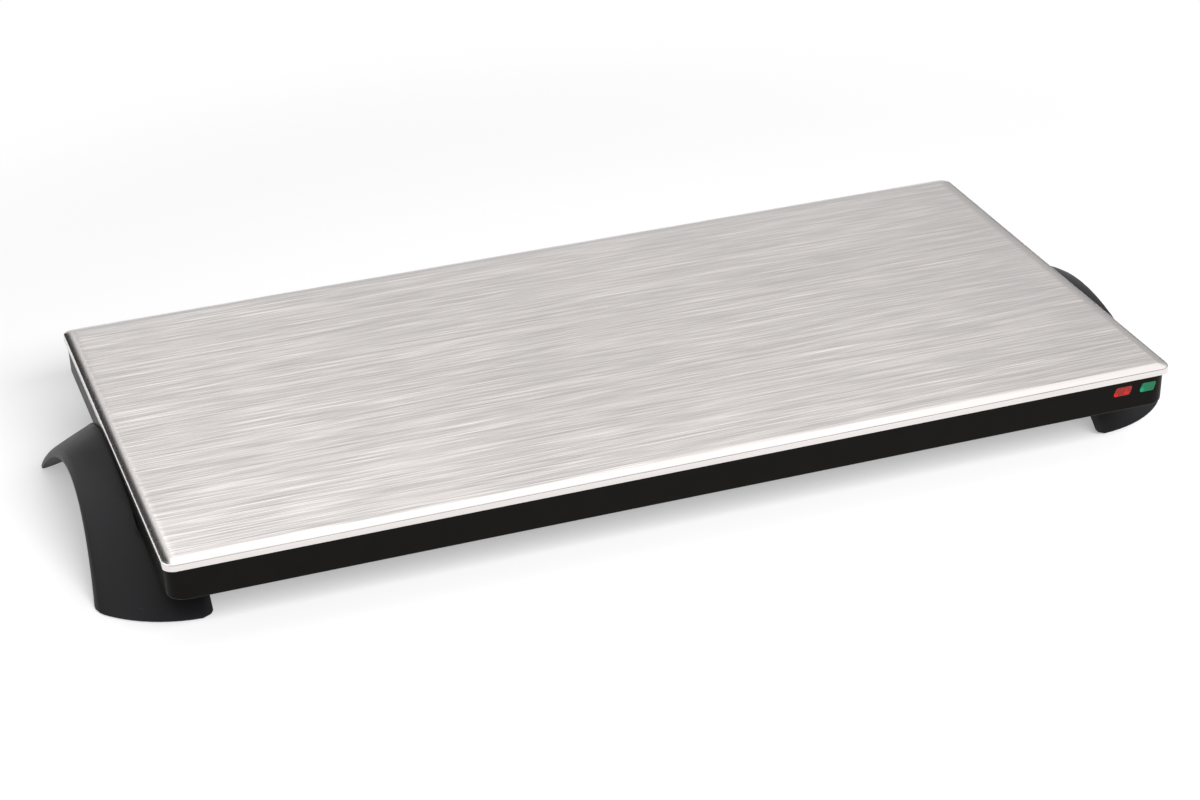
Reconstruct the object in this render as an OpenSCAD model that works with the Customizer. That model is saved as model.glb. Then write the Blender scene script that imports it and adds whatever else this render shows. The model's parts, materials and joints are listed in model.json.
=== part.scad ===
// Electric food warmer tray: a brushed steel hot plate on a shallow black body,
// carried by two moulded end pieces that are handle, arch and feet in one.
// Origin: bottom centre, on the table. +X to the right, -Y is the front, +Z up. Millimetres.

/* [Tray] */
// Width of the steel top over its skirt
tray_w = 603; // [598:0.5:612]
// Depth of the steel top over its skirt
tray_d = 302; // [298:0.5:308]
// Height of the cooking surface above the table
tray_h = 58; // [57:0.5:60]

/* [Steel top] */
// Thickness of the steel sheet
plate_t = 0.8; // [0.6:0.1:1]
// Height of the skirt below the cooking surface
skirt_h = 5.3; // [4.8:0.1:6]
// Corner radius of the steel top, seen from above
plate_r = 7; // [6:0.5:12]
// How far in from the edge the surface starts to roll down
roll_run = 8.5; // [7.5:0.5:9.5]
// How far the surface has rolled down where it meets the skirt
roll_drop = 1.3; // [1.1:0.1:1.5]

/* [Body] */
// Height of the underside of the body above the table
body_z = 33; // [32.5:0.1:33.5]
// Corner radius of the body, seen from above
body_r = 12; // [10:0.5:16]
// Thickness of the moulded body wall
wall_t = 2.2; // [2:0.1:2.5]
// Radius of the rounded lower edge of the body
edge_r = 1.5; // [1:0.25:3]
// Thickness of the sheet steel bottom cover
cover_t = 1.2; // [0.8:0.1:1.4]

/* [End pieces] */
// How far each handle stands out past the steel top
handle_out = 30; // [29:0.5:33]
// How far the feet reach in under the steel top
foot_under = 29.5; // [27:0.5:34]
// Height of the handle where it leaves the body wall
crown_h = 49.8; // [48:0.1:50.5]
// Half width of the arch opening at the table
arch_half = 83.3; // [80:0.1:86]
// Height of the arch opening
arch_h = 38.3; // [37:0.1:39.5]
// Half depth over the feet, at their inner face
foot_half = 119; // [116:1:122]
// Gap between the moulding and the table, taken up by the pads
pad_gap = 0.8; // [0.6:0.1:1.2]

/* [Indicators] */
// Width of the red window
red_w = 11; // [10:0.1:12]
// Width of the green window
green_w = 9.5; // [9:0.1:10]
// Height of both windows
window_h = 5.9; // [5.5:0.1:6.6]
// Lean of the windows, bottom against top
window_lean = 1.2; // [0.6:0.1:2]

/* [Hidden] */

$fn = 40;
fit = 0.05;                       // gap between pieces that only touch

// colours
steel = "#c9c4c0";
zinc = "#a9abad";
alu = "#d5d7d9";
black = "#1c1b1a";
charcoal = "#2c2c2e";
rubber = "#141414";
mica = "#b8ab8e";
wool = "#d9d2bd";
brass = "#b08d45";

// heights of the layers under the steel top, from the top down
plate_z = tray_h - plate_t;                   // underside of the steel
spreader_t = 1.2;
mica_t = 0.5;
ribbon_t = 0.6;
press_t = 1.2;
pad_t = 7;
shield_t = 0.6;
spreader_z = plate_z - spreader_t;
upper_mica_z = spreader_z - mica_t;
ribbon_z = upper_mica_z - ribbon_t;
lower_mica_z = ribbon_z - mica_t;
press_z = lower_mica_z - press_t;
wool_z = press_z - pad_t;
shield_z = wool_z - shield_t;

// body
body_inset = 1;                               // body wall behind the face of the skirt
body_draft = 0.4;                             // the wall leans in by this much towards its foot
flange_z = body_z + cover_t;                  // underside of the inner flange of the body
flange_t = 2;
flange_top = flange_z + flange_t;
flange_in = 24;                               // reach of the flange from the tray's edge
lip_in = 8;                                   // lower lip that the bottom cover sits inside
rim_in = 3.2;                                 // inner face of the body wall

// end pieces
end_reach = tray_w / 2 + handle_out;          // free edge of the handle, from the middle
foot_in = tray_w / 2 - foot_under;            // inner face of the feet
wall_x = tray_w / 2 - body_inset + fit;       // outer face of the body's end wall
flare_w = 32;                                 // depth of the handle in which its shape changes
arc_r = 73;                                   // plan radius of the foot's outer edge
arc_x = foot_in + 2;                          // centre of that arc
arc_y = foot_half - arc_r;
lean = 6.15;                                  // outboard edge leans in this far at the crown
end_span = end_reach - foot_in;
sections = 14;
fan = 78;                                     // the sections close up towards the free edge
toe_r = 4;
arch_steps = 30;
web_t = 3.4;                                  // web that joins the two legs under the body
web_foot = 72;                                // half width of the web where it runs into the legs
web_top = 66.5;                               // the same against the body
skin_t = 2.2;                                 // thickness of a foot where it ends under the body
vault_rise = 4.5;                             // the opening is this much higher at the wall
end_screw_x = tray_w / 2 - 17.5;
end_screw_y = [-58, -20, 20, 58];
pad_x = end_reach - 23.5;                     // where the foot is widest
pad_y = 102;
pad_r = 6.5;
stem_r = 2.5;

// sizes of the fasteners
screw_r = 1.75;
clear_r = 2.1;

// stud and spacer positions
stud_xs = [-225, -75, 75, 225];
stud_ys = [-95, 95];
tie_xs = [-150, 0, 150];
tie_ys = [-60, 60];
stud_r = 2;
spacer_r = 4;

// indicator windows: middle of each window on the front wall
window_z = 46.1;
red_x = 270;
green_x = 286.5;
front_y = -(tray_d / 2 - body_inset);

// electrical parts
inlet_x = 225;
inlet_w = 30;
inlet_h = 11;
inlet_depth = 17;
inlet_z = 44.3;
socket_t = 1.6;
socket_w = inlet_w + 2 * socket_t;
socket_h = inlet_h + 2 * socket_t;
inlet_screw_x = socket_w / 2 + 2.6;
inlet_screw_in = 0.25;                        // heads lie this far in from the face of the wall
pin_r = 2.4;
pin_pitch = 13;
thermostat_x = 150;
thermostat_y = -90;
thermostat_screw_x = 12;
fuse_x = -40;
fuse_y = -88;
terminal_x = 200;
ribbon_half = 255;                            // half length of the straight runs of the ribbon
lead_places = [[250, 96], [-250, -96]];       // where the leads pass up to the ribbon's ends
lead_r = 3;

// ---------------------------------------------------------------- shared shapes

// One ring of points around a rounded rectangle, drawn in by inset, at height z
function ring(inset, z, r) =
    let (hw = tray_w / 2 - inset, hd = tray_d / 2 - inset, rr = max(r - inset, 0.6))
    [for (c = [0:3], k = [0:6])
        let (a = 90 * c + 15 * k, sx = (c == 0 || c == 3) ? 1 : -1, sy = c < 2 ? 1 : -1)
        [sx * (hw - rr) + rr * cos(a), sy * (hd - rr) + rr * sin(a), z]];

// Skin over a list of rings with the same number of points. With loop, the last ring
// joins the first, which makes a frame; without, both end rings are closed.
module skin(rings, loop = false) {
    n = len(rings[0]);
    m = len(rings);
    last = loop ? m - 1 : m - 2;
    sides = [for (j = [0:last], i = [0:n - 1])
        let (a = j * n + i, b = j * n + (i + 1) % n, c = ((j + 1) % m) * n + i,
             d = ((j + 1) % m) * n + (i + 1) % n)
        each [[a, b, d], [a, d, c]]];
    caps = loop ? [] : [[for (i = [n - 1:-1:0]) i], [for (i = [0:n - 1]) (m - 1) * n + i]];
    polyhedron(points = [for (r = rings) each r], faces = concat(sides, caps), convexity = 6);
}

// Flat sheet with rounded corners
module sheet(w, d, t, r) {
    linear_extrude(height = t)
    union() {
        square([w - 2 * r, d], center = true);
        square([w, d - 2 * r], center = true);
        for (x = [-1, 1], y = [-1, 1])
            translate([x * (w / 2 - r), y * (d / 2 - r)]) circle(r);
    }
}

// Vertical rods, bores or tubes at every crossing of two lists of places
module grid(xs, ys) {
    for (x = xs, y = ys) translate([x, y, 0]) children();
}

// The same at a list of single places
module at(places) {
    for (p = places) translate([p[0], p[1], 0]) children();
}

// Pan head screw, head down, its head resting on z = 0
module screw(length, r = screw_r, head_r = 3.2, head_h = 1.4) {
    cylinder(r = r, h = length);
    translate([0, 0, -head_h])
    difference() {
        cylinder(r1 = head_r - 0.6, r2 = head_r, h = head_h);
        for (a = [0, 90]) rotate(a) translate([0, 0, 0.2]) cube([3.2, 0.7, 1.2], center = true);
    }
}

// Countersunk screw, pointing up, its head flush with z = 0
module flat_screw(length, r, head_r, head_h) {
    cylinder(r1 = head_r, r2 = r, h = head_h);
    cylinder(r = r, h = length);
}

// Hexagon nut on a screw of radius r
module nut(r, across, h) {
    difference() {
        cylinder(r = across / 2 / cos(30), h = h, $fn = 6);
        translate([0, 0, -1]) cylinder(r = r, h = h + 2);
    }
}

// Direction of segment i of a path, and of the joint between it and the next
function along(path, i) = (path[i + 1] - path[i]) / norm(path[i + 1] - path[i]);
function joint(path, i) =
    i == 0 ? along(path, 0)
    : i == len(path) - 1 ? along(path, i - 1)
    : let (v = along(path, i - 1) + along(path, i)) v / norm(v);

// Ring of the tube at point i: the ring before it, slid along the wire to the joint's plane
function tube_ring(path, i, r) =
    i == 0
    ? let (d = along(path, 0), side = abs(d[2]) > 0.9 ? [1, 0, 0] : [0, 0, 1],
           u = cross(d, side) / norm(cross(d, side)), v = cross(d, u))
        [for (a = [0:60:300]) path[0] + r * (u * sin(a) + v * cos(a))]
    : let (d = along(path, i - 1), t = joint(path, i))
        [for (q = tube_ring(path, i - 1, r)) q + d * ((path[i] - q) * t) / (d * t)];

// Wire along a list of points, six-sided, mitred at its bends
module wire(path, r) {
    skin([for (i = [0:len(path) - 1]) tube_ring(path, i, r)]);
}

// ---------------------------------------------------------------- steel top

// Height of the rolled edge at a distance in from the skirt
function roll_z(inset) = tray_h - roll_drop * pow((roll_run - inset) / (roll_run - 0.5), 2);

// Pressed steel pan: flat top, softly rolled edge, a crease and a short skirt
module top_plate() {
    outer = [for (k = [0:7]) let (i = roll_run - k * (roll_run - 0.5) / 7) [i, roll_z(i)]];
    brow = [[0.15, roll_z(0.5) - 0.22], [0, roll_z(0.5) - 0.6], [0, tray_h - skirt_h]];
    inner = [[plate_t, tray_h - skirt_h], [plate_t, roll_z(0.5) - 1.15]];
    under = [for (k = [7:-1:0]) let (i = roll_run - k * (roll_run - 1.2) / 7)
        [i + 0.15, roll_z(i) - plate_t]];
    profile = concat(outer, brow, inner, under);
    color(steel) skin([for (p = profile) ring(p[0], p[1], plate_r)]);
}

// Aluminium sheet that spreads the heat under the steel
module heat_spreader() {
    color(alu)
    translate([0, 0, spreader_z])
    difference() {
        sheet(566, 266, spreader_t, 8);
        translate([0, 0, -1]) grid(stud_xs, stud_ys) cylinder(r = stud_r + 0.6, h = 4);
    }
}

// ---------------------------------------------------------------- heater

module mica_sheet(z) {
    color(mica)
    translate([0, 0, z])
    difference() {
        sheet(556, 256, mica_t, 6);
        translate([0, 0, -1]) grid(stud_xs, stud_ys) cylinder(r = stud_r + 0.8, h = 3);
    }
}

module upper_mica_sheet() {
    mica_sheet(upper_mica_z);
}

module lower_mica_sheet() {
    difference() {
        mica_sheet(lower_mica_z);
        translate([0, 0, lower_mica_z - 1]) at(lead_places) cylinder(r = lead_r, h = 3);
    }
}

// Flat resistance ribbon, laid to and fro between the two mica sheets
module heating_element() {
    run_w = 5;
    pitch = 24;
    runs = 9;
    color(zinc)
    translate([0, 0, ribbon_z])
    linear_extrude(height = ribbon_t)
    difference() {
        union() {
            for (k = [0:runs - 1])
                translate([0, (k - (runs - 1) / 2) * pitch])
                square([2 * ribbon_half, run_w], center = true);
            for (k = [0:runs - 2])
                translate([(k % 2 == 0 ? 1 : -1) * ribbon_half, (k + 0.5 - (runs - 1) / 2) * pitch])
                difference() {
                    circle(pitch / 2 + run_w / 2);
                    circle(pitch / 2 - run_w / 2);
                    translate([(k % 2 == 0 ? -1 : 1) * pitch, 0])
                    square([2 * pitch, 2 * pitch], center = true);
                }
        }
        for (x = stud_xs, y = stud_ys) translate([x, y]) circle(stud_r + 0.8);
    }
}

// Steel plate that clamps the heater, with pressed stiffening ribs
module pressure_plate() {
    color(zinc)
    difference() {
        union() {
            translate([0, 0, press_z]) sheet(560, 260, press_t, 8);
            for (y = [-36, 0, 36])
                translate([0, y, press_z - 2]) sheet(470, 12, 2, 5.9);
        }
        translate([0, 0, press_z - 3]) {
            grid(stud_xs, stud_ys) cylinder(r = clear_r, h = 6);
            grid(tie_xs, tie_ys) cylinder(r = screw_r, h = 6);
            at(lead_places) cylinder(r = lead_r, h = 6);
            for (x = [-1, 1]) translate([thermostat_x + x * thermostat_screw_x, thermostat_y, 0])
                cylinder(r = 1.5, h = 6);
        }
    }
}

// Studs welded to the underside of the steel top
module plate_studs() {
    color(zinc)
    grid(stud_xs, stud_ys)
    translate([0, 0, press_z - 4.5]) cylinder(r = stud_r, h = plate_z - press_z + 4.5);
}

module stud_nuts() {
    color(zinc)
    grid(stud_xs, stud_ys)
    translate([0, 0, press_z - 3.2]) nut(stud_r, 7, 3.2);
}

// Blanket of mineral wool under the heater, cut away at the nuts, spacers and controls
module insulation_pad() {
    color(wool)
    translate([0, 0, wool_z])
    difference() {
        sheet(556, 256, pad_t, 10);
        for (y = [-36, 0, 36]) translate([0, y, pad_t - 2]) sheet(471, 13, 3, 6.4);
        translate([0, 0, -1]) {
            grid(stud_xs, stud_ys) cylinder(r = 7, h = pad_t + 2);
            grid(tie_xs, tie_ys) cylinder(r = spacer_r + 0.3, h = pad_t + 2);
            at([[thermostat_x, thermostat_y], [fuse_x, fuse_y]]) cylinder(r = 17, h = pad_t + 2);
            at(lead_places) cylinder(r = lead_r + 1, h = pad_t + 2);
        }
    }
}

// Thin reflector under the wool
module heat_shield() {
    color(alu)
    translate([0, 0, shield_z])
    difference() {
        sheet(562, 262, shield_t, 10);
        translate([0, 0, -1]) {
            grid(tie_xs, tie_ys) cylinder(r = spacer_r + 0.3, h = 3);
            at([[thermostat_x, thermostat_y], [fuse_x, fuse_y]]) cylinder(r = 17, h = 3);
            at(lead_places) cylinder(r = lead_r, h = 3);
        }
    }
}

// ---------------------------------------------------------------- body

// Outline of an indicator window, standing in the XZ plane
module window(w, h, gap) {
    rotate([90, 0, 0])
    linear_extrude(height = 14, center = true)
    hull()
    for (sx = [-1, 1], sz = [-1, 1])
        translate([sx * (w / 2 - 1.4) + sz * window_lean / 2, sz * (h / 2 - 1.4)])
        circle(1.4 + gap, $fn = 20);
}

// Everything inside the body's outline, drawn in by inset
module inside(inset) {
    sheet(tray_w - 2 * inset, tray_d - 2 * inset, tray_h, body_r - inset);
}

// Moulded surround: leaning wall, rounded lower edge, inner flange for the cover screws
module body_frame() {
    wall_foot = body_inset + body_draft;
    corner = [for (k = [0:4]) let (a = 90 * k / 4)
        [wall_foot + edge_r * (1 - cos(a)), body_z + edge_r * (1 - sin(a))]];
    profile = concat(
        [[body_inset, 55.3], [body_inset, tray_h - skirt_h - 0.6]],
        corner,
        [[lip_in, body_z], [lip_in, flange_z], [flange_in, flange_z], [flange_in, flange_top],
         [rim_in + 1, flange_top], [rim_in, flange_top + 1], [rim_in, 56]]);
    color(black)
    difference() {
        skin([for (p = profile) ring(p[0], p[1], body_r)], loop = true);
        at(cover_screw_places()) translate([0, 0, flange_z - 1])
            cylinder(r = screw_r, h = flange_t + 2);
        grid([-end_screw_x, end_screw_x], end_screw_y) translate([0, 0, flange_z - 1])
            cylinder(r = clear_r, h = flange_t + 2);
        translate([red_x, front_y, window_z]) window(red_w, window_h, 0);
        translate([green_x, front_y, window_z]) window(green_w, window_h, 0);
        at(lamp_screw_places()) translate([0, 0, flange_z - 1]) cylinder(r = 1.5, h = flange_t + 2);
        translate([inlet_x, -front_y, inlet_z]) {
            cube([socket_w, 12, socket_h], center = true);
            for (s = [-1, 1]) translate([s * inlet_screw_x, -inlet_screw_in, 0])
                rotate([90, 0, 0]) flat_screw(5, 1.25, 2.4, 1.15);
            for (s = [-1, 1]) translate([s * inlet_screw_x, -inlet_screw_in, 0])
                rotate([-90, 0, 0]) cylinder(r = 2.4, h = 2);
        }
    }
}

// Places of the screws that hold the bottom cover to the flange of the body
function cover_screw_places() = concat(
    [for (x = [-240, -120, 0, 120, 240], s = [-1, 1]) [x, s * (tray_d / 2 - 15)]],
    [for (s = [-1, 1], t = [-1, 1]) [s * (tray_w / 2 - 15), t * 100]]);

// Sheet steel cover with rows of vent slots, sitting inside the lip of the body
module bottom_cover() {
    color(black)
    translate([0, 0, body_z])
    difference() {
        sheet(tray_w - 2 * lip_in - 0.4, tray_d - 2 * lip_in - 0.4, cover_t, body_r - lip_in);
        translate([0, 0, -1]) {
            at(cover_screw_places()) cylinder(r = clear_r, h = cover_t + 2);
            grid([-end_screw_x, end_screw_x], end_screw_y) cylinder(r = clear_r, h = cover_t + 2);
            grid(tie_xs, tie_ys) cylinder(r = clear_r, h = cover_t + 2);
            for (x = [-200, 75, 205], k = [-4:4]) translate([x + 9 * k, 0, 0])
                sheet(3, 44, cover_t + 2, 1.49);
        }
    }
}

module cover_screws() {
    color(zinc)
    at(cover_screw_places()) translate([0, 0, body_z]) screw(7);
}

// ---------------------------------------------------------------- end pieces

// The end piece is an arch that runs across the end of the tray. Each section of it stands
// at one distance x from the middle and has an outer and an inner curve, both from the
// front foot over the crown to the rear foot.

// How far along from the wall to the outboard edge, 0 to 1
function outboard(x) = max(0, (x - end_reach + flare_w) / flare_w);
// How far into the last bit of the handle before its free edge, 1 at the edge
function last(x, bit) = (x - end_reach + bit) / bit;
// Outer half width on the table: a round plan edge that ends in a small corner
function outer_half(x) =
    x < arc_x ? foot_half
    : arc_y + sqrt(arc_r * arc_r - pow(x - arc_x, 2)) - 3.8 * pow(max(0, last(x, 4)), 3);
// Inner half width on the table: with the outer one it makes a foot like a crescent, thin
// at both ends and widest over the pad
function inner_half(x) =
    arch_half + (foot_half - skin_t - arch_half) * pow((end_reach - x) / end_span, 1.35)
    + 0.5 * max(0, last(x, 1));
// Height of the outer and inner crown
function outer_top(x) =
    let (c = 25 * outboard(x))
    crown_h - 0.14 * c - 0.0085 * c * c - 0.9 * pow(max(0, last(x, 2)), 2);
function inner_top(x) =
    min(outer_top(x) - 2, arch_h + vault_rise * pow(1 - outboard(x), 0.8));
// Fullness of the curves: 0.5 is an ellipse, near 1 a slack bow that flares to the feet
function bow(x) = 0.9 + 0.45 * outboard(x) - 0.4 * pow(outboard(x), 2);
// The toe of a foot is rounded up from the table where it ends under the body
function toe(x) = toe_r * pow(max(0, 1 - (x - foot_in) / toe_r), 2);

// A point on a curve of half width a and height b, at angle t from the crown
function arch_point(x, a, b, t) =
    let (rise = pow(max(0, cos(t)), 2 * bow(x)), low = pad_gap + toe(x))
    [x - lean * outboard(x) * rise, a * sin(t), low + (b - low) * rise];

function arch_angle(i) = -90 + 180 * i / arch_steps;

function arch_section(x) = concat(
    [for (i = [0:arch_steps]) arch_point(x, outer_half(x), outer_top(x), arch_angle(i))],
    [for (i = [arch_steps:-1:0]) arch_point(x, inner_half(x), inner_top(x), arch_angle(i))]);

// The whole arch, from the inner face of the feet to the free edge
module arch() {
    n = 2 * (arch_steps + 1);
    xs = concat([foot_in, foot_in + toe_r / 3],
        [for (j = [1:sections]) foot_in + end_span * sin(fan * j / sections) / sin(fan)]);
    sides = [for (j = [0:sections], i = [0:n - 1])
        let (a = j * n + i, b = j * n + (i + 1) % n, c = a + n, d = b + n)
        each [[a, d, c], [a, b, d]]];
    ends = [for (i = [0:arch_steps - 1])
        let (o = i, p = i + 1, q = n - 2 - i, s = n - 1 - i, far = (sections + 1) * n)
        each i < arch_steps / 2
        ? [[o, s, p], [p, s, q], [far + o, far + p, far + s], [far + p, far + q, far + s]]
        : [[o, q, p], [o, s, q], [far + o, far + p, far + q], [far + o, far + q, far + s]]];
    polyhedron(points = [for (x = xs) each arch_section(x)], faces = concat(sides, ends),
        convexity = 8);
}

// Handle, arch and feet in one moulding, cut square where it meets the body
module end_piece() {
    difference() {
        union() {
            difference() {
                arch();
                translate([wall_x - 100, -160, body_z]) cube([100, 320, 40]);
            }
            translate([foot_in + 1.5, 0, body_z - fit - web_t]) rotate([90, 0, 90])
            linear_extrude(height = wall_x - foot_in - 2)
            polygon([[-web_foot, 0], [web_foot, 0], [web_top, web_t], [-web_top, web_t]]);
            grid([end_screw_x], end_screw_y) translate([0, 0, body_z - 6]) cylinder(r = 6, h = 5);
        }
        grid([end_screw_x], end_screw_y) cylinder(r = clear_r, h = body_z + 1);
        for (sy = [-1, 1]) translate([pad_x, sy * pad_y, 0]) cylinder(r = stem_r, h = 7);
    }
}

module left_end_piece() {
    color(charcoal) mirror([1, 0, 0]) end_piece();
}

module right_end_piece() {
    color(charcoal) end_piece();
}

// Steel strip inside the body that spreads the pull of the end piece screws
module end_bracket() {
    color(zinc)
    difference() {
        union() {
            translate([end_screw_x - 7.5, -72, flange_top]) cube([18, 144, 1.5]);
            translate([end_screw_x - 7.5, -72, flange_top]) cube([1.5, 144, 5]);
        }
        for (y = end_screw_y) translate([end_screw_x, y, flange_top - 1])
            cylinder(r = clear_r, h = 4);
    }
}

module left_end_bracket() {
    mirror([1, 0, 0]) end_bracket();
}

module right_end_bracket() {
    end_bracket();
}

module end_piece_screws() {
    color(zinc)
    grid([-end_screw_x, end_screw_x], end_screw_y) translate([0, 0, body_z - 6])
        screw(flange_top + 1.5 + 3 - (body_z - 6), r = 1.9, head_r = 3.6);
}

module bracket_nuts() {
    color(zinc)
    grid([-end_screw_x, end_screw_x], end_screw_y) translate([0, 0, flange_top + 1.5])
        nut(1.9, 7, 3);
}

// Rubber pad with a stem that presses into the foot
module foot_pad(sx, sy) {
    color(rubber)
    translate([sx * pad_x, sy * pad_y, 0]) {
        cylinder(r1 = pad_r - 0.3, r2 = pad_r, h = pad_gap);
        cylinder(r = stem_r, h = 6);
    }
}

module front_left_foot_pad() { foot_pad(-1, -1); }
module front_right_foot_pad() { foot_pad(1, -1); }
module rear_left_foot_pad() { foot_pad(-1, 1); }
module rear_right_foot_pad() { foot_pad(1, 1); }

// ---------------------------------------------------------------- indicators

// Moulded lens: a window-shaped nose flush with the wall and a flange behind it, both
// following the rounded corner of the body
module lens(x, w) {
    back_y = front_y + wall_t + 1.5;
    intersection() {
        translate([x, front_y, window_z]) window(w, window_h, -fit);
        inside(body_inset + body_draft / 2);
        translate([x - w, front_y - 1, window_z - 6]) cube([2 * w, back_y - front_y + 1, 12]);
    }
    intersection() {
        translate([x - w / 2 - 2, front_y + wall_t, window_z - window_h / 2 - 1])
            cube([w + 4, 1.5, window_h + 2]);
        inside(rim_in + fit);
    }
}

module red_lens() {
    color("#c2281c") lens(red_x, red_w);
}

module green_lens() {
    color("#12876a") lens(green_x, green_w);
}

// Small neon lamp lying behind its lens
module neon(x) {
    translate([x - 4, front_y + 9, window_z]) rotate([0, 90, 0]) {
        cylinder(r = 2.2, h = 7);
        translate([0, 0, 7]) sphere(r = 2.2);
    }
}

module red_lamp() {
    color("#e8b9a8") neon(red_x);
}

module green_lamp() {
    color("#b9e2d2") neon(green_x);
}

function lamp_screw_places() = [for (x = [red_x - 4.5, green_x - 4.2]) [x, front_y + 15.5]];

// Bracket on the flange with two cradles for the lamps
module lamp_holder() {
    base_y = front_y + 5.5;
    color(mica)
    difference() {
        union() {
            translate([261, base_y, flange_top]) cube([26, 13, 2]);
            for (x = [red_x - 3.5, green_x - 3.5]) translate([x, base_y + 1, flange_top])
                cube([4, 5, window_z - flange_top]);
        }
        for (x = [red_x, green_x]) translate([x - 5, front_y + 9, window_z]) rotate([0, 90, 0])
            cylinder(r = 2.2, h = 9);
        at(lamp_screw_places()) translate([0, 0, flange_top - 1]) cylinder(r = 1.5, h = 5);
    }
}

module lamp_holder_screws() {
    color(zinc)
    at(lamp_screw_places()) translate([0, 0, flange_top + 2])
        rotate([180, 0, 0]) screw(3.9, r = 1.5, head_r = 2.6, head_h = 1.2);
}

// ---------------------------------------------------------------- controls

// Fixed bimetal thermostat clamped against the pressure plate
module thermostat() {
    color("#6b4a3a")
    difference() {
        translate([thermostat_x, thermostat_y, press_z - 9]) {
            cylinder(r = 8.5, h = 9);
            translate([0, 0, 7.8]) sheet(30, 9, 1.2, 4.4);
            for (x = [-4, 4]) translate([x - 0.4, -3, -2.5]) cube([0.8, 6, 3.5]);
        }
        for (x = [-1, 1])
            translate([thermostat_x + x * thermostat_screw_x, thermostat_y, press_z - 5])
            cylinder(r = 1.5, h = 6);
    }
}

module thermostat_screws() {
    color(zinc)
    for (x = [-1, 1])
        translate([thermostat_x + x * thermostat_screw_x, thermostat_y, press_z - 1.2])
        screw(2.3, r = 1.5, head_r = 2.6, head_h = 1.2);
}

// One-shot thermal fuse in a sleeve, held against the pressure plate
module thermal_fuse() {
    color("#d8d0c4")
    translate([fuse_x - 8, fuse_y, press_z - 2.4]) rotate([0, 90, 0]) {
        cylinder(r = 2.2, h = 16);
        translate([0, 0, -5]) cylinder(r = 0.6, h = 26);
    }
}

// Saddle over the fuse, spot welded to the pressure plate
module fuse_clamp() {
    color(zinc)
    translate([fuse_x - 3, fuse_y, press_z - 2.4])
    difference() {
        union() {
            rotate([0, 90, 0]) cylinder(r = 3, h = 6);
            translate([0, -3, 0]) cube([6, 6, 2.4]);
            translate([0, -8, 1.6]) cube([6, 16, 0.8]);
        }
        translate([-1, 0, 0]) rotate([0, 90, 0]) cylinder(r = 2.25, h = 8);
        translate([-1, -2.25, 0]) cube([8, 4.5, 3]);
    }
}

// Two-way terminal block on the flange side of the cover
module terminal_block() {
    color("#e4dfd2")
    difference() {
        translate([terminal_x - 15, 60, flange_z]) cube([30, 16, 9]);
        for (x = [-8, 8]) translate([terminal_x + x, 68, flange_z + 3]) cylinder(r = 2, h = 8);
    }
}

module terminal_screws() {
    color(brass)
    for (x = [-8, 8]) translate([terminal_x + x, 68, flange_z + 3]) cylinder(r = 1.95, h = 4.6);
}

// Recessed socket for a plug-in lead, in the rear wall, with two ears behind the wall
module inlet_socket() {
    ear_h = socket_h - 4;
    color(black)
    translate([inlet_x, -front_y, inlet_z])
    difference() {
        union() {
            translate([-socket_w / 2 + fit, -inlet_depth - 2, -socket_h / 2 + fit])
                cube([socket_w - 2 * fit, inlet_depth + 1.9, socket_h - 2 * fit]);
            translate([-inlet_screw_x - 3, -wall_t - 1.6, -ear_h / 2])
                cube([2 * inlet_screw_x + 6, 1.5, ear_h]);
        }
        translate([-inlet_w / 2, -inlet_depth, -inlet_h / 2])
            cube([inlet_w, inlet_depth + 1, inlet_h]);
        for (s = [-1, 1]) translate([s * pin_pitch / 2, -inlet_depth - 3, 0])
            rotate([-90, 0, 0]) cylinder(r = pin_r, h = 6);
        for (s = [-1, 1]) translate([s * inlet_screw_x, -5, 0])
            rotate([-90, 0, 0]) cylinder(r = 1.2, h = 4);
    }
}

module inlet_pins() {
    color(zinc)
    for (s = [-1, 1]) translate([inlet_x + s * pin_pitch / 2, -front_y - inlet_depth - 6, inlet_z])
        rotate([-90, 0, 0]) {
            cylinder(r = pin_r, h = 19);
            translate([0, 0, 19]) cylinder(r1 = pin_r, r2 = pin_r - 0.8, h = 1);
        }
}

// Countersunk screws through the rear wall into the ears of the socket
module inlet_screws() {
    color(zinc)
    for (s = [-1, 1]) translate([inlet_x + s * inlet_screw_x, -front_y - inlet_screw_in, inlet_z])
        rotate([90, 0, 0])
        difference() {
            flat_screw(4.6, 1.2, 2.3, 1.1);
            for (a = [0, 90]) rotate(a) cube([2.8, 0.6, 1], center = true);
        }
}

// ---------------------------------------------------------------- wiring

wire_z = 40.5;

module live_wire() {
    y0 = -front_y - inlet_depth - 6;
    color("#7a2f22")
    wire([[inlet_x - pin_pitch / 2, y0, inlet_z], [inlet_x - pin_pitch / 2, 112, inlet_z],
          [inlet_x - pin_pitch / 2, 104, wire_z], [192, 92, wire_z], [192, 76, wire_z]], 1.1);
}

module neutral_wire() {
    y0 = -front_y - inlet_depth - 6;
    color("#3a4a6a")
    wire([[inlet_x + pin_pitch / 2, y0, inlet_z], [inlet_x + pin_pitch / 2, 114, inlet_z],
          [inlet_x + pin_pitch / 2, 106, wire_z], [208, 90, wire_z], [208, 76, wire_z]], 1.1);
}

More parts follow.
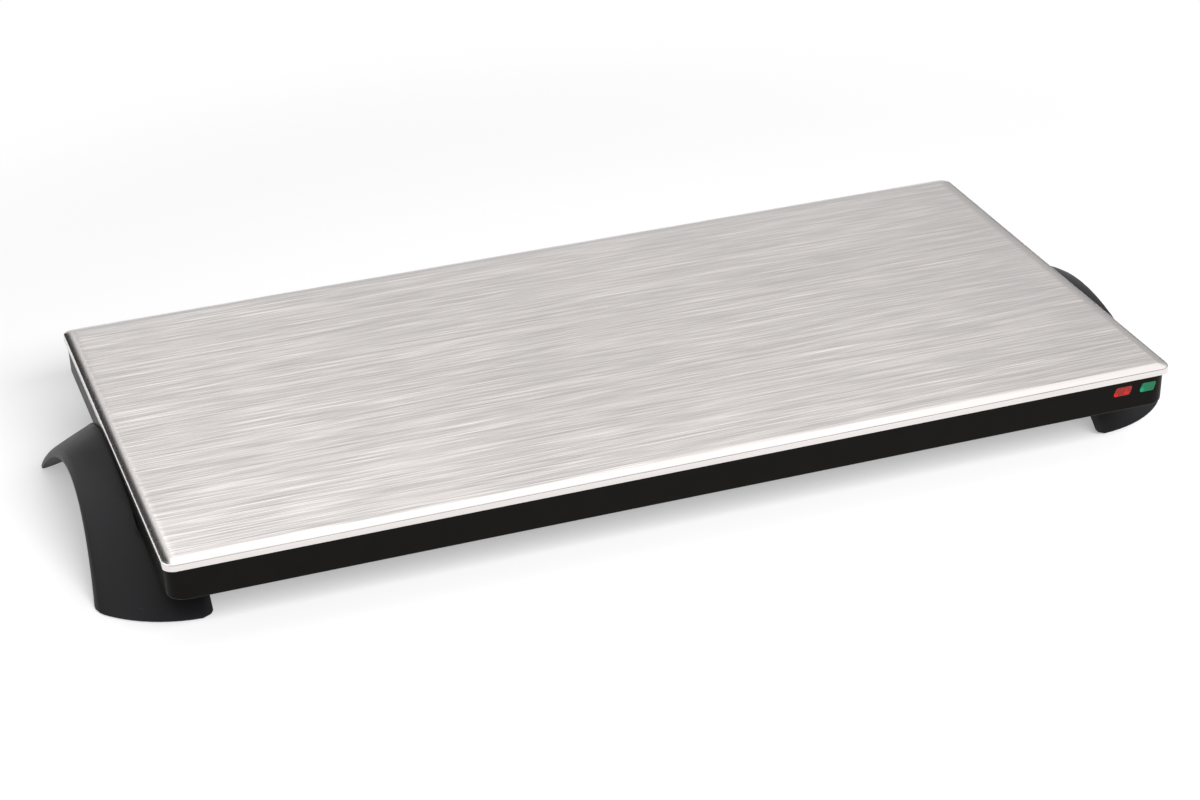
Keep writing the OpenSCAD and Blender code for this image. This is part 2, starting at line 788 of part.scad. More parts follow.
// Leads from the terminals through the thermostat and the fuse to the ribbon's ends
module element_wires() {
    ribbon_end = ribbon_z - fit;
    blade_z = press_z - 11.5 - fit;
    low_z = wire_z - 2;
    fuse_z = press_z - 2.4;
    near = lead_places[0];
    far = lead_places[1];
    color("#c8bfae") {
        wire([[192, 60, wire_z], [192, 20, wire_z], [168, -60, low_z],
              [thermostat_x + 4, -80, low_z], [thermostat_x + 4, thermostat_y, low_z],
              [thermostat_x + 4, thermostat_y, blade_z]], 1);
        wire([[thermostat_x - 4, thermostat_y, blade_z], [thermostat_x - 4, thermostat_y, low_z],
              [120, -84, low_z], [0, -84, low_z], [fuse_x + 14, fuse_y, low_z + 3],
              [fuse_x + 14, fuse_y, fuse_z]], 1);
        wire([[fuse_x - 14, fuse_y, fuse_z], [fuse_x - 14, fuse_y, wire_z],
              [-80, -94, wire_z], [far[0] + 8, far[1], wire_z], [far[0], far[1], wire_z + 4],
              [far[0], far[1], ribbon_end]], 1);
        wire([[208, 60, wire_z], [208, 50, wire_z], [236, 50, wire_z],
              [near[0], near[1] - 10, wire_z], [near[0], near[1], wire_z + 4],
              [near[0], near[1], ribbon_end]], 1);
    }
}

// Thin leads from the terminals to the two lamps
module lamp_wires() {
    color("#b8b0a4")
    for (k = [0, 1]) {
        x = k == 0 ? red_x - 4 : green_x - 4;
        wire([[197 + 6 * k, 60, wire_z + 2], [232 + 6 * k, 10, wire_z + 2],
              [250 + 6 * k, -112, wire_z + 2], [x - 0.7, front_y + 18, window_z],
              [x - 0.7, front_y + 9, window_z]], 0.6);
    }
}

// ---------------------------------------------------------------- tie points

module spacer_tubes() {
    color(zinc)
    grid(tie_xs, tie_ys)
    difference() {
        translate([0, 0, flange_z]) cylinder(r = spacer_r, h = press_z - flange_z);
        translate([0, 0, flange_z - 1]) cylinder(r = clear_r, h = 30);
    }
}

module tie_screws() {
    color(zinc)
    grid(tie_xs, tie_ys)
    translate([0, 0, body_z]) screw(press_z + press_t - body_z - fit);
}

// ---------------------------------------------------------------- assembly

top_plate();
heat_spreader();
upper_mica_sheet();
heating_element();
lower_mica_sheet();
pressure_plate();
insulation_pad();
heat_shield();
body_frame();
bottom_cover();
left_end_piece();
right_end_piece();
left_end_bracket();
right_end_bracket();
front_left_foot_pad();
front_right_foot_pad();
rear_left_foot_pad();
rear_right_foot_pad();
red_lens();
green_lens();
red_lamp();
green_lamp();
lamp_holder();
lamp_holder_screws();
thermostat();
thermostat_screws();
thermal_fuse();
fuse_clamp();
terminal_block();
terminal_screws();
inlet_socket();
inlet_pins();
inlet_screws();
live_wire();
neutral_wire();
element_wires();
lamp_wires();
plate_studs();
stud_nuts();
spacer_tubes();
tie_screws();
cover_screws();
end_piece_screws();
bracket_nuts();
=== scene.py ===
# %% [markdown]
# # A brushed steel food warmer tray
#
# The real thing is a shallow black box with a thin brushed steel sheet folded over its
# top, and it stands on two moulded end pieces that are handle, arch and feet in one.
# The CAD model already has every part at its real size, so this script never moves or
# resizes anything. It dresses the model: it gives the parts that show their rounded
# edges, paints every surface, and sets up a small studio around them.
#
# Everything is in metres, with X along the tray, -Y towards the front wall and Z up.

# %% Load the frame
import json
import math
import bpy
from mathutils import Matrix, Vector


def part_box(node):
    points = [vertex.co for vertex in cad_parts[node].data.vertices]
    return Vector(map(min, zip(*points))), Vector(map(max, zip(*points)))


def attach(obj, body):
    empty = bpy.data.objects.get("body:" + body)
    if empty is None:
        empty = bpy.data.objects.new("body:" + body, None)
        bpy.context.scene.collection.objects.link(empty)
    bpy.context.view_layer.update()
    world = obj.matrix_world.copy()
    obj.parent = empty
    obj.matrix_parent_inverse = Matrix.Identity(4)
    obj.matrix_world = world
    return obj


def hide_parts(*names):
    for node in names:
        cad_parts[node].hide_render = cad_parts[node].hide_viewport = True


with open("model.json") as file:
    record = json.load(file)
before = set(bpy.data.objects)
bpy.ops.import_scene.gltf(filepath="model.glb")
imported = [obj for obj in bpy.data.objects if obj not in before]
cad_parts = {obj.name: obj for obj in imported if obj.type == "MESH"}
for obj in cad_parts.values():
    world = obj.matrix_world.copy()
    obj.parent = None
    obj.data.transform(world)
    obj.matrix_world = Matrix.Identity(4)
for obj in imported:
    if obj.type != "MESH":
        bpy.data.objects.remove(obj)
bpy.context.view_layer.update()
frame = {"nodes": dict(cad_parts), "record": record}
nodes = frame["nodes"]
MM = 0.001

# %% [markdown]
# ## The camera
#
# A product photograph is easiest to match when the camera is worked out once and then
# left alone. Here the four corners of the steel top, whose true shape is known, gave the
# distance, the direction and the lens. Blender's camera looks along its own -Z axis, so
# its matrix is built from three directions: right, up, and the reverse of the view.

# %% Place the camera
CAMERA_AT = Vector((-0.4933, -1.4189, 0.8180))
YAW, PITCH, ROLL = (math.radians(a) for a in (19.04216, 27.92856, -1.57725))
PHOTO_WIDTH, FOCAL_PIXELS = 1200, 2793

look = Vector((math.sin(YAW) * math.cos(PITCH), math.cos(YAW) * math.cos(PITCH), -math.sin(PITCH)))
level_right = Vector((math.cos(YAW), -math.sin(YAW), 0))
level_up = level_right.cross(look)
right = math.cos(ROLL) * level_right + math.sin(ROLL) * level_up
up = math.cos(ROLL) * level_up - math.sin(ROLL) * level_right

camera = bpy.data.objects.new("camera", bpy.data.cameras.new("camera"))
bpy.context.scene.collection.objects.link(camera)
camera.matrix_world = Matrix.Translation(CAMERA_AT) @ Matrix((right, up, -look)).transposed().to_4x4()
camera.data.sensor_width = 36
camera.data.lens = FOCAL_PIXELS / PHOTO_WIDTH * camera.data.sensor_width
camera.data.clip_end = 50
bpy.context.scene.camera = camera
bpy.context.scene.view_settings.view_transform = "Standard"
print("lens", round(camera.data.lens, 1), "mm")

# %% [markdown]
# ## Tools for modelling
#
# Operators act on whatever is selected, and loading the frame leaves everything
# selected. So each piece starts from an empty selection, and its faces or edges are
# picked in code by where they lie. The helpers below do only that.

# %% Selecting and starting pieces
def deselect():
    if bpy.context.mode != "OBJECT":
        bpy.ops.object.mode_set(mode="OBJECT")
    bpy.ops.object.select_all(action="DESELECT")


def activate(piece):
    deselect()
    piece.select_set(True)
    bpy.context.view_layer.objects.active = piece


def pick(piece, kind, test):
    """Selects the faces, edges or vertices of a piece whose middle passes the test."""
    bpy.ops.object.mode_set(mode="EDIT")
    bpy.ops.mesh.select_mode(type={"polygons": "FACE", "edges": "EDGE", "vertices": "VERT"}[kind])
    bpy.ops.mesh.select_all(action="DESELECT")
    bpy.ops.object.mode_set(mode="OBJECT")
    mesh = piece.data
    count = 0
    for item in getattr(mesh, kind):
        if kind == "vertices":
            points = [item.co]
        else:
            points = [mesh.vertices[i].co for i in item.vertices]
        if test(points):
            item.select = True
            count += 1
    bpy.ops.object.mode_set(mode="EDIT")
    return count


def box_between(name, low, high):
    """A cube primitive at its true size and place, ready to be shaped."""
    deselect()
    middle = [(a + b) / 2 for a, b in zip(low, high)]
    bpy.ops.mesh.primitive_cube_add(size=1, location=middle)
    piece = bpy.context.active_object
    piece.name = piece.data.name = name
    piece.scale = [b - a for a, b in zip(low, high)]
    bpy.ops.object.transform_apply(location=True, rotation=True, scale=True)
    return piece


def apply_modifier(piece, kind, **settings):
    activate(piece)
    modifier = piece.modifiers.new(kind.lower(), kind)
    for name, value in settings.items():
        setattr(modifier, name, value)
    bpy.ops.object.modifier_apply(modifier=modifier.name)


def smooth(piece, degrees=35):
    activate(piece)
    bpy.ops.object.shade_smooth_by_angle(angle=math.radians(degrees))


# %% [markdown]
# ## Copies of CAD parts with softened edges
#
# A moulded or pressed edge is never perfectly sharp, and the thin light line that it
# catches is what makes a render look real. A CAD mesh is loose triangles, so a copy of
# it is first merged, then flat neighbours are dissolved into whole faces, and only then
# a Bevel modifier can round every edge that is sharper than a given angle.
#
# In the CAD feet, the blind hole for each pad's stem comes out through the sloping side.
# The finished copy closes it. When a foot is of the other side, nothing is near its pad
# and nothing is picked.

# %% Soften a CAD part
STEM_REACH = 2.95 * MM
STEM_TOP = 7.1 * MM


def close_stem_holes(piece):
    """Takes out the blind holes that the pads' stems fill, and closes the skin over them."""
    for place in ("front_left", "front_right", "rear_left", "rear_right"):
        low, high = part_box(place + "_foot_pad")
        pad = (low + high) / 2
        pick(piece, "polygons", lambda p: all(
            math.hypot(v.x - pad.x, v.y - pad.y) < STEM_REACH and v.z < STEM_TOP for v in p))
        bpy.ops.mesh.delete(type="FACE")
    bpy.ops.mesh.select_mode(type="EDGE")
    bpy.ops.mesh.select_all(action="DESELECT")
    bpy.ops.mesh.select_non_manifold()
    bpy.ops.mesh.fill_holes(sides=0)
    bpy.ops.mesh.select_all(action="SELECT")
    bpy.ops.mesh.normals_make_consistent(inside=False)


def softened(node, name, width, segments=3, sharp=32, flat=0.4, repair=None):
    piece = bpy.data.objects.new(name, nodes[node].data.copy())
    piece.data.name = name
    piece.data.materials.clear()
    bpy.context.scene.collection.objects.link(piece)
    activate(piece)
    bpy.ops.object.mode_set(mode="EDIT")
    bpy.ops.mesh.select_all(action="SELECT")
    bpy.ops.mesh.remove_doubles(threshold=0.002 * MM)
    if repair:
        repair(piece)
    bpy.ops.mesh.dissolve_limited(angle_limit=math.radians(flat))
    bpy.ops.object.mode_set(mode="OBJECT")
    if width:
        apply_modifier(piece, "BEVEL", width=width * MM, segments=segments,
                       limit_method="ANGLE", angle_limit=math.radians(sharp),
                       use_clamp_overlap=True, harden_normals=False)
    smooth(piece, sharp)
    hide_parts(node)
    return piece


def seat(piece):
    """The piece is finished: it rides on the tray's one body."""
    deselect()
    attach(piece, "root")
    print(piece.name, len(piece.data.polygons), "faces")
    return piece


# %% [markdown]
# ## The steel top
#
# The real top is one sheet, pressed so that the surface rolls down over the last few
# millimetres, creases, and turns into a short upright skirt. It starts as a cube that is
# only as high as the skirt. Its upright edges are bevelled into the corner radius, and
# then its top face is inset again and again, each time a little higher, along the curve
# of the roll. A corner of 7 mm can't be inset by more than 7 mm without turning inside
# out, so just before that the points of each corner are merged into one. One last inset
# at the same height keeps the big flat face out of the smoothing of the roll. At the end
# the underside is removed and Solidify gives the sheet its thickness.

# %% Press the steel top
CORNER = 7 * MM
SKIRT_TOP = -1.9 * MM
CREASE = (0.5 * MM, -1.3 * MM)
ROLL_RUN = 8.5 * MM
ROLL_STEPS = 12
SHEET = 0.8 * MM

plate_low, plate_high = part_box("top_plate")
surface_z = plate_high.z
steel_top = box_between("steel_top", plate_low, (plate_high.x, plate_high.y, surface_z + SKIRT_TOP))
pick(steel_top, "edges", lambda p: abs(p[0].z - p[1].z) > 1 * MM)
bpy.ops.mesh.bevel(offset=CORNER, segments=16, affect="EDGES")

profile = [(0.0, SKIRT_TOP), (0.04 * MM, -1.7 * MM), (0.13 * MM, -1.54 * MM),
           (0.29 * MM, -1.4 * MM), CREASE]
for step in range(1, ROLL_STEPS + 1):
    inset = CREASE[0] + (ROLL_RUN - CREASE[0]) * step / ROLL_STEPS
    left_over = (ROLL_RUN - inset) / (ROLL_RUN - CREASE[0])
    profile.append((inset, CREASE[1] * left_over ** 2))
profile.append((ROLL_RUN + 1.5 * MM, 0.0))

pick(steel_top, "polygons", lambda p: all(abs(v.z - surface_z - SKIRT_TOP) < 0.01 * MM for v in p))
for (inset, z), (next_inset, next_z) in zip(profile, profile[1:]):
    if inset < CORNER < next_inset:
        for sx, sy in ((-1, -1), (-1, 1), (1, -1), (1, 1)):
            pick(steel_top, "vertices", lambda p: abs(p[0].z - surface_z - z) < 0.002 * MM
                 and p[0].x * sx > 0 and p[0].y * sy > 0)
            bpy.ops.mesh.merge(type="CENTER")
        pick(steel_top, "polygons", lambda p: all(abs(v.z - surface_z - z) < 0.002 * MM for v in p))
    bpy.ops.mesh.inset(thickness=next_inset - inset, depth=next_z - z, use_even_offset=True)
pick(steel_top, "polygons", lambda p: all(abs(v.z - plate_low.z) < 0.01 * MM for v in p))
bpy.ops.mesh.delete(type="FACE")
apply_modifier(steel_top, "SOLIDIFY", thickness=SHEET, offset=-1, use_even_offset=True)
apply_modifier(steel_top, "BEVEL", width=0.15 * MM, segments=2, limit_method="ANGLE",
               angle_limit=math.radians(60))
smooth(steel_top, 30)
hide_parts("top_plate")
seat(steel_top)
print("top at", round(surface_z * 1000, 2), "mm")

# %% [markdown]
# ## The black body, the end pieces, the inlet and the windows
#
# These are mouldings. Their shape is right in CAD, so they are finished copies. The
# widths of the bevels are the radii that such mouldings have: a few tenths of a
# millimetre on the body, more on the free edge of a handle that a hand closes around.
# The body and the cover have large flat faces beside tiny bevels. Their normals are
# weighted by face area, so that the bevels don't pull streaks across the flats.

# %% Finish the mouldings
body = seat(softened("body_frame", "body_shell", 0.25, sharp=35))
cover = seat(softened("bottom_cover", "base_cover", 0.12, segments=2, sharp=40))
handles = [seat(softened(side + "_end_piece", side + "_handle", 0.5, sharp=38,
                         repair=close_stem_holes))
           for side in ("left", "right")]
socket = seat(softened("inlet_socket", "lead_inlet", 0.3, sharp=40))
windows = {colour: seat(softened(colour + "_lens", colour + "_window", 0.25, sharp=40)) for colour in ("red", "green")}
for piece in (body, cover):
    apply_modifier(piece, "WEIGHTED_NORMAL", keep_sharp=True)
print("normals weighted by face area on", body.name, "and", cover.name)

# %% [markdown]
# ## Shader maths written as Python
#
# A material is a network of nodes. Wiring it by hand is slow to read, so one small class
# wraps a socket and turns +, -, * and / into Math nodes, and another holds a material and
# adds any other node in one call. Everything that is the same all over a surface is set
# as a plain number on the shader.

# %% Sockets that can be added and multiplied
class Signal:
    def __init__(self, finish, socket):
        self.finish, self.socket = finish, socket

    def maths(self, operation, a, b):
        return self.finish.add("ShaderNodeMath", {"operation": operation}, {0: a, 1: b})

    def __add__(self, other):
        return self.maths("ADD", self, other)

    def __sub__(self, other):
        return self.maths("SUBTRACT", self, other)

    def __rsub__(self, other):
        return self.maths("SUBTRACT", other, self)

    def __mul__(self, other):
        return self.maths("MULTIPLY", self, other)

    def __truediv__(self, other):
        return self.maths("DIVIDE", self, other)

    def __rtruediv__(self, other):
        return self.maths("DIVIDE", other, self)

    def highest(self, other):
        return self.maths("MAXIMUM", self, other)

    __radd__, __rmul__ = __add__, __mul__


class Finish:
    """A material, or with tree= the world, and the nodes that are added to it."""

    def __init__(self, name, tree=None, **shader):
        self.name = name
        if tree is None:
            self.material = bpy.data.materials.new(name)
            self.material.use_nodes = True
            tree = self.material.node_tree
            self.shader = tree.nodes["Principled BSDF"]
            self.set(**{key.replace("_", " "): value for key, value in shader.items()})
        self.tree = tree

    def set(self, **values):
        for key, value in values.items():
            self.shader.inputs[key].default_value = value

    def add(self, kind, settings=None, inputs=None, output=0):
        node = self.tree.nodes.new(kind)
        for key, value in (settings or {}).items():
            if key == "stops":
                ramp = node.color_ramp.elements
                while len(ramp) < len(value):
                    ramp.new(0.5)
                for stop, (place, colour) in zip(ramp, value):
                    stop.position, stop.color = place, (*colour, 1)
            else:
                setattr(node, key, value)
        for key, value in (inputs or {}).items():
            if isinstance(value, Signal):
                self.tree.links.new(value.socket, node.inputs[key])
            else:
                node.inputs[key].default_value = value
        return Signal(self, node.outputs[output])

    def feed(self, name, signal):
        self.tree.links.new(signal.socket, self.shader.inputs[name])

    def places(self, scale):
        """Object coordinates stretched by scale, so that a pattern can run along one axis."""
        coords = self.add("ShaderNodeTexCoord", output="Object")
        return self.add("ShaderNodeMapping", inputs={"Vector": coords, "Scale": scale})

    def noise(self, scale, stretch=(1, 1, 1), detail=2.0, roughness=0.5, distortion=0.0):
        return self.add("ShaderNodeTexNoise", inputs={
            "Vector": self.places(stretch), "Scale": scale, "Detail": detail,
            "Roughness": roughness, "Distortion": distortion})

    def between(self, factor, low, high):
        """A number or a colour that runs from low to high as factor runs from 0 to 1."""
        if isinstance(low, (int, float)):
            return factor * (high - low) + low
        return self.add("ShaderNodeMix", {"data_type": "RGBA"},
                        {0: factor, 6: (*low, 1), 7: (*high, 1)}, output=2)

    def ease(self, value, start, end):
        """0 up to start, 1 from end on, and a soft step between; it falls if end is lower."""
        return self.add("ShaderNodeMapRange", {"interpolation_type": "SMOOTHSTEP"},
                        {"Value": value, "From Min": start, "From Max": end})

    def clamp(self, value):
        return self.add("ShaderNodeClamp", inputs={"Value": value})

    def bump(self, height, distance, strength):
        return self.add("ShaderNodeBump", inputs={
            "Height": height, "Distance": distance, "Strength": strength})


def paint(finish, *pieces):
    for piece in pieces:
        piece.data.materials.clear()
        piece.data.materials.append(finish.material)


# %% [markdown]
# ## Brushed steel
#
# Brushing leaves fine scratches along the tray. Each one is a tiny groove, so light
# spreads across the grooves much more than along them. The grooves are finer than a
# pixel, so they aren't modelled as height: a fine noise, stretched along X, tilts the
# surface's own direction to and fro across the grooves, and the steel under it stays
# fairly smooth. Two coarser stretched noises give the streaks of tone, and a slow cloud
# the uneven pressure of the brush.

# %% The steel's finish
STEEL = (0.725, 0.688, 0.675)
TILT = 0.5

steel = Finish("brushed steel", Metallic=1.0)
groove = steel.noise(1.0, (20, 3200, 3200), detail=2.0)
line = steel.noise(1.0, (26, 1500, 1500), detail=3.0, roughness=0.6)
streak = steel.noise(1.0, (13, 400, 400), detail=3.0, roughness=0.6)
cloud = steel.noise(1.0, (5, 11, 11), detail=2.0)
tone = (line - 0.5) * 0.42 + (streak - 0.5) * 0.22 + (cloud - 0.5) * 0.3 + 0.5
steel.feed("Base Color", steel.between(tone, [c * 0.84 for c in STEEL], [c * 1.16 for c in STEEL]))
steel.feed("Roughness", steel.between(line * 0.5 + cloud * 0.5, 0.12, 0.2))
facing = steel.add("ShaderNodeNewGeometry", output="Normal")
across = steel.add("ShaderNodeCombineXYZ", inputs={"Y": (groove - 0.5) * TILT})
tilted = steel.add("ShaderNodeVectorMath", {"operation": "ADD"}, {0: facing, 1: across})
steel.feed("Normal", steel.add("ShaderNodeVectorMath", {"operation": "NORMALIZE"}, {0: tilted}))
paint(steel, steel_top)

# %% [markdown]
# ## Black mouldings
#
# The body is a smooth black with a faint sheen. The end pieces are charcoal with a fine
# satin grain, which breaks the reflections into a soft, slightly blue light along every
# curve. Both are plastics, so only their colour, roughness and grain differ.

# %% Body and end pieces
black = Finish("black moulding", IOR=1.45)
black.shader.inputs["Specular IOR Level"].default_value = 0.05
film = black.noise(60.0, detail=4.0)
grain = black.noise(2600.0, detail=2.0)
black.feed("Base Color", black.between(film, (0.0034, 0.0031, 0.0026), (0.0052, 0.0048, 0.0042)))
black.feed("Roughness", black.between(film, 0.3, 0.4))
black.feed("Normal", black.bump(grain, 0.00001, 0.25))
paint(black, body, socket)

charcoal = Finish("charcoal satin moulding", IOR=1.45)
charcoal.shader.inputs["Specular IOR Level"].default_value = 0.22
film = charcoal.noise(45.0, detail=3.0)
grain = charcoal.noise(1500.0, detail=3.0, roughness=0.65)
charcoal.feed("Base Color", charcoal.between(film, (0.0062, 0.0062, 0.0068), (0.0088, 0.0088, 0.0102)))
charcoal.feed("Roughness", charcoal.between(grain * 0.5 + film * 0.5, 0.38, 0.54))
charcoal.feed("Normal", charcoal.bump(grain, 0.00004, 0.55))
paint(charcoal, *handles)

# %% [markdown]
# ## Indicator windows
#
# Each window is a clear coloured moulding with fine ribs on its back and a small lamp
# behind it. The ribs show as narrow upright bands, and the lamp as a brighter spot.
# Both are mixed into the colour and into a weak emission of the same colour.

# %% Red and green windows
def window_finish(name, low, high, bright, spots, glow):
    """spots are places on the front wall, in metres, with the reach of each one's light."""
    finish = Finish(name, IOR=1.49, Roughness=0.12)
    finish.shader.inputs["Specular IOR Level"].default_value = 0.15
    ribs = finish.add("ShaderNodeTexWave", {"wave_type": "BANDS", "bands_direction": "X"},
                      {"Vector": finish.places((1, 0.2, 0.25)), "Scale": 300.0,
                       "Distortion": 1.5, "Detail": 1.0, "Detail Scale": 2.0})
    facets = finish.noise(520.0, detail=1.0)
    texture = ribs * 0.5 + facets * 0.5
    light = None
    for place, reach in spots:
        coords = finish.add("ShaderNodeTexCoord", output="Object")
        far = finish.add("ShaderNodeVectorMath", {"operation": "DISTANCE"},
                         {0: coords, 1: place}, output="Value")
        spot = finish.clamp(1 - far / reach)
        light = spot if light is None else light.highest(spot)
    colour = finish.between(texture, low, high)
    mixed = finish.add("ShaderNodeMix", {"data_type": "RGBA"},
                       {0: light, 6: colour, 7: (*bright, 1)}, output=2)
    finish.feed("Base Color", mixed)
    finish.feed("Emission Color", mixed)
    finish.set(**{"Emission Strength": glow})
    return finish


front_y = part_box("body_frame")[0].y
red = window_finish("red window", (0.11, 0.009, 0.0075), (0.20, 0.019, 0.015), (0.45, 0.003, 0.003),
                    [((0.2648, front_y, 0.0438), 0.0026), ((0.2722, front_y, 0.0448), 0.0019)], 0.3)
green = window_finish("green window", (0.018, 0.064, 0.026), (0.0, 0.115, 0.054), (0.0, 0.21, 0.125),
                      [((0.2822, front_y, 0.0446), 0.0026)], 0.25)
paint(red, windows["red"])
paint(green, windows["green"])

# %% [markdown]
# ## Everything else
#
# The parts inside and underneath keep their CAD meshes. Each material slot of the
# record gets one finish: a base colour that drifts a little, a roughness that follows
# it and a grain of the right size. Metals keep their shine, rubber and wool lose it.

# %% Finishes for the other slots
def plain_finish(name, colour, drift, rough, metal=0.0, grain_scale=900.0, grain_depth=0.00002,
                 stretch=(1, 1, 1)):
    finish = Finish(name, Metallic=metal)
    patch = finish.noise(70.0, stretch, detail=4.0)
    grain = finish.noise(grain_scale, stretch, detail=2.0)
    tone = patch * 0.6 + grain * 0.4
    finish.feed("Base Color", finish.between(tone, [c * (1 - drift) for c in colour],
                                             [c * (1 + drift) for c in colour]))
    finish.feed("Roughness", finish.between(patch, rough - 0.08, rough + 0.08))
    finish.feed("Normal", finish.bump(grain, grain_depth, 0.5))
    return finish


painted = {
    "aluminium_sheet": plain_finish("mill aluminium", (0.80, 0.81, 0.82), 0.08, 0.35, 1.0,
                                    stretch=(0.1, 1, 1)),
    "mica": plain_finish("mica board", (0.48, 0.42, 0.30), 0.25, 0.55, 0.0, 500.0),
    "resistance_ribbon": plain_finish("resistance ribbon", (0.42, 0.41, 0.40), 0.1, 0.4, 1.0),
    "zinc_steel": plain_finish("zinc plated steel", (0.56, 0.57, 0.58), 0.18, 0.34, 1.0, 1500.0),
    "mineral_wool": plain_finish("mineral wool", (0.72, 0.67, 0.55), 0.2, 0.9, 0.0, 700.0, 0.0006),
    "black_steel": plain_finish("satin black paint", (0.012, 0.012, 0.012), 0.2, 0.5, 0.0, 1800.0),
    "foot_rubber": plain_finish("foot rubber", (0.014, 0.014, 0.014), 0.25, 0.8, 0.0, 2500.0),
    "lamp_glass": plain_finish("lamp glass", (0.8, 0.72, 0.66), 0.05, 0.12),
    "heat_plastic": plain_finish("heat resistant moulding", (0.62, 0.58, 0.46), 0.08, 0.5),
    "phenolic": plain_finish("phenolic moulding", (0.12, 0.05, 0.025), 0.2, 0.4),
    "fuse_sleeve": plain_finish("fuse sleeve", (0.6, 0.56, 0.46), 0.15, 0.8, 0.0, 2200.0, 0.0001),
    "brass": plain_finish("brass", (0.62, 0.42, 0.16), 0.1, 0.28, 1.0),
    "plated_pins": plain_finish("nickel plated pins", (0.62, 0.60, 0.57), 0.06, 0.18, 1.0),
    "live_sleeve": plain_finish("red silicone lead", (0.26, 0.03, 0.02), 0.1, 0.5),
    "neutral_sleeve": plain_finish("blue silicone lead", (0.03, 0.06, 0.2), 0.1, 0.5),
    "glass_sleeve": plain_finish("woven glass sleeve", (0.62, 0.57, 0.47), 0.2, 0.8, 0.0, 2400.0,
                                 0.0001),
}
own = {"brushed_steel": steel, "black_body": black, "charcoal_moulding": charcoal,
       "red_lens": red, "green_lens": green}
for part in frame["record"]["subparts"]:
    slot = part["material_slot"]
    if part["node"] in nodes:
        paint(painted.get(slot) or own[slot], nodes[part["node"]])
paint(painted["black_steel"], cover)
print(len(painted), "shared finishes")

# %% [markdown]
# ## Studio
#
# The photograph was taken on a white sweep. The floor is white for the camera and in
# reflections, yet it still has to show the soft shadow. So its material is part diffuse,
# which takes the shadow, and part plain white light, and away from the tray it is all
# light, so that it runs into the white world without an edge.

# %% Floor
FLOOR_GLOW = 0.38
SHADOW_REACH = (0.42, 0.7)
deselect()
bpy.ops.mesh.primitive_plane_add(size=1, location=(0, 0, 0))
floor = bpy.context.active_object
floor.name = "floor"
floor.scale = (14, 14, 1)
bpy.ops.object.transform_apply(location=True, rotation=True, scale=True)
sweep = Finish("white sweep", Roughness=0.9)
sweep.shader.inputs["Base Color"].default_value = (0.9, 0.9, 0.9, 1)
sweep.shader.inputs["Specular IOR Level"].default_value = 0.0


def seen_ray(finish):
    """1 for rays from the camera or by way of a reflection or glass, 0 for diffuse light."""
    kinds = [finish.add("ShaderNodeLightPath", output=name)
             for name in ("Is Camera Ray", "Is Glossy Ray", "Is Transmission Ray")]
    return kinds[0].highest(kinds[1]).highest(kinds[2])


centre = sweep.add("ShaderNodeTexCoord", output="Object")
distance = sweep.add("ShaderNodeVectorMath", {"operation": "LENGTH"}, {0: centre}, output="Value")
away = sweep.ease(distance, *SHADOW_REACH)
glow = sweep.add("ShaderNodeEmission", inputs={"Color": (1, 1, 1, 1), "Strength": 1.0})
surface = sweep.add("ShaderNodeMixShader", inputs={
    0: seen_ray(sweep) * sweep.between(away, FLOOR_GLOW, 1.0),
    1: Signal(sweep, sweep.shader.outputs[0]), 2: glow})
sweep.tree.links.new(surface.socket, sweep.tree.nodes["Material Output"].inputs["Surface"])
paint(sweep, floor)

# %% [markdown]
# ## What the metal sees
#
# Steel and gloss show the room rather than their own colour. In the photograph the plate
# mirrors a light wall behind the tray that is a little brighter high up. The roll of the
# front edge looks higher still and is white, its crease looks back and up at the darker
# side of the room, and the ends of the tray catch a dark card on either side, with a
# light beyond the left one. So the world has a level for reflections that depends on the
# direction alone: a wall that is brighter from half way up and falls a little to the
# right, one lighter patch and three darker ones, all with soft edges.

# %% World
world = bpy.data.worlds.new("studio")
bpy.context.scene.world = world
world.use_nodes = True
sky = Finish("studio", tree=world.node_tree)
background = world.node_tree.nodes["Background"]
direction = sky.add("ShaderNodeTexCoord", output="Generated")
split = world.node_tree.nodes.new("ShaderNodeSeparateXYZ")
world.node_tree.links.new(direction.socket, split.inputs[0])
side, depth, height = (Signal(sky, s) for s in split.outputs)

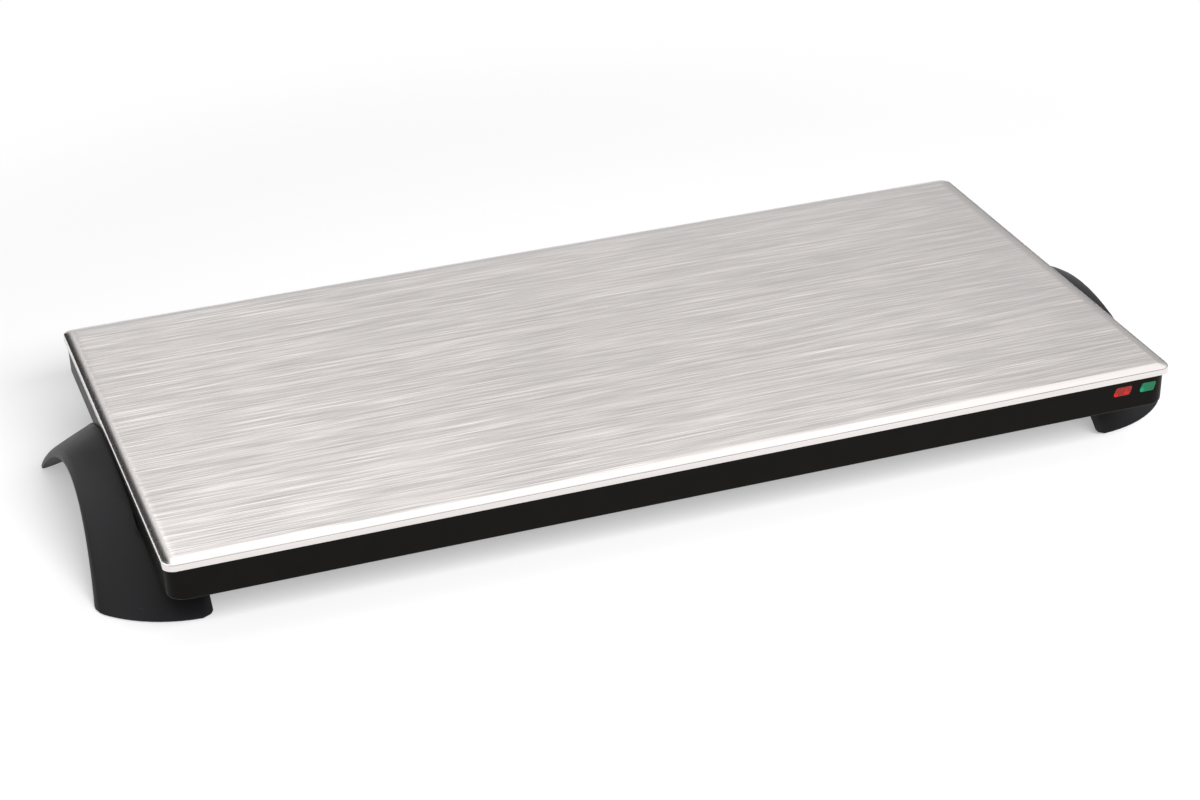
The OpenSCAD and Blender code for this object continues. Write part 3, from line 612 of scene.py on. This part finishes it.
AMBIENT = 0.32
WALL_LOW, WALL_HIGH = 0.67, 1.5
wall = sky.between(sky.ease(height, 0.40, 0.68), WALL_LOW, WALL_HIGH)
ceiling_fall = sky.ease(height, 0.9, 0.98) * 0.4
front_left_gain = sky.ease(side, 0.3, 0.14) * sky.ease(height, 0.42, 0.5) * 0.1
wall = wall - ceiling_fall + front_left_gain
left_card = (sky.ease(side, -0.03, -0.09) * sky.ease(side, -0.3, -0.22)
             * sky.ease(depth, 0.4, 0.6) * sky.ease(height, 0.1, 0.18))
left_light = (sky.ease(side, -0.26, -0.36) * sky.ease(side, -0.66, -0.54)
              * sky.ease(depth, 0.4, 0.6) * sky.ease(height, 0.0, 0.1))
right_card = sky.ease(side, 0.5, 0.57) * sky.ease(depth, 0.3, 0.5) * sky.ease(height, 0.16, 0.08)
right_fall = sky.ease(side, 0.39, 0.48) * 0.14
room = sky.ease(depth, -0.2, -0.4) * sky.ease(height, 0.46, 0.54) * sky.ease(height, 0.92, 0.82)
reflected = ((wall + left_light * 0.8) * (1 - left_card * 0.96) * (1 - right_card * 0.8)
             * (1 - room * 0.7) * (1 - right_fall))

camera_ray = sky.add("ShaderNodeLightPath", output="Is Camera Ray")
seen = seen_ray(sky)
level = camera_ray + (1 - camera_ray) * (seen * reflected + (1 - seen) * AMBIENT)
world.node_tree.links.new(level.socket, background.inputs["Strength"])
background.inputs["Color"].default_value = (1, 1, 1, 1)
print("wall", WALL_LOW, "to", WALL_HIGH)

# %% [markdown]
# ## Lamps
#
# The floor under the front edge is nearly white in the photograph, so the main light
# comes from the front, low enough to reach under the tray, and a little from the right,
# because the handle on the left has the darker shadow. A weak lamp overhead rounds the
# shapes. Both only light and cast shadows; what mirrors in the tray is the world above.

# %% Two softboxes
def softbox(name, place, aim, size, power):
    lamp = bpy.data.objects.new(name, bpy.data.lights.new(name, "AREA"))
    lamp.data.shape, lamp.data.energy = "RECTANGLE", power
    lamp.data.size, lamp.data.size_y = size
    bpy.context.scene.collection.objects.link(lamp)
    lamp.location = place
    lamp.rotation_mode = "QUATERNION"
    lamp.rotation_quaternion = (Vector(aim) - Vector(place)).to_track_quat("-Z", "Y")
    lamp.visible_glossy = False
    return lamp


softbox("front softbox", (0.2, -1.9, 1.5), (0, 0, 0.02), (2.0, 0.9), 88)
softbox("overhead softbox", (0.3, 0.1, 2.0), (0, 0, 0), (1.6, 1.4), 8)
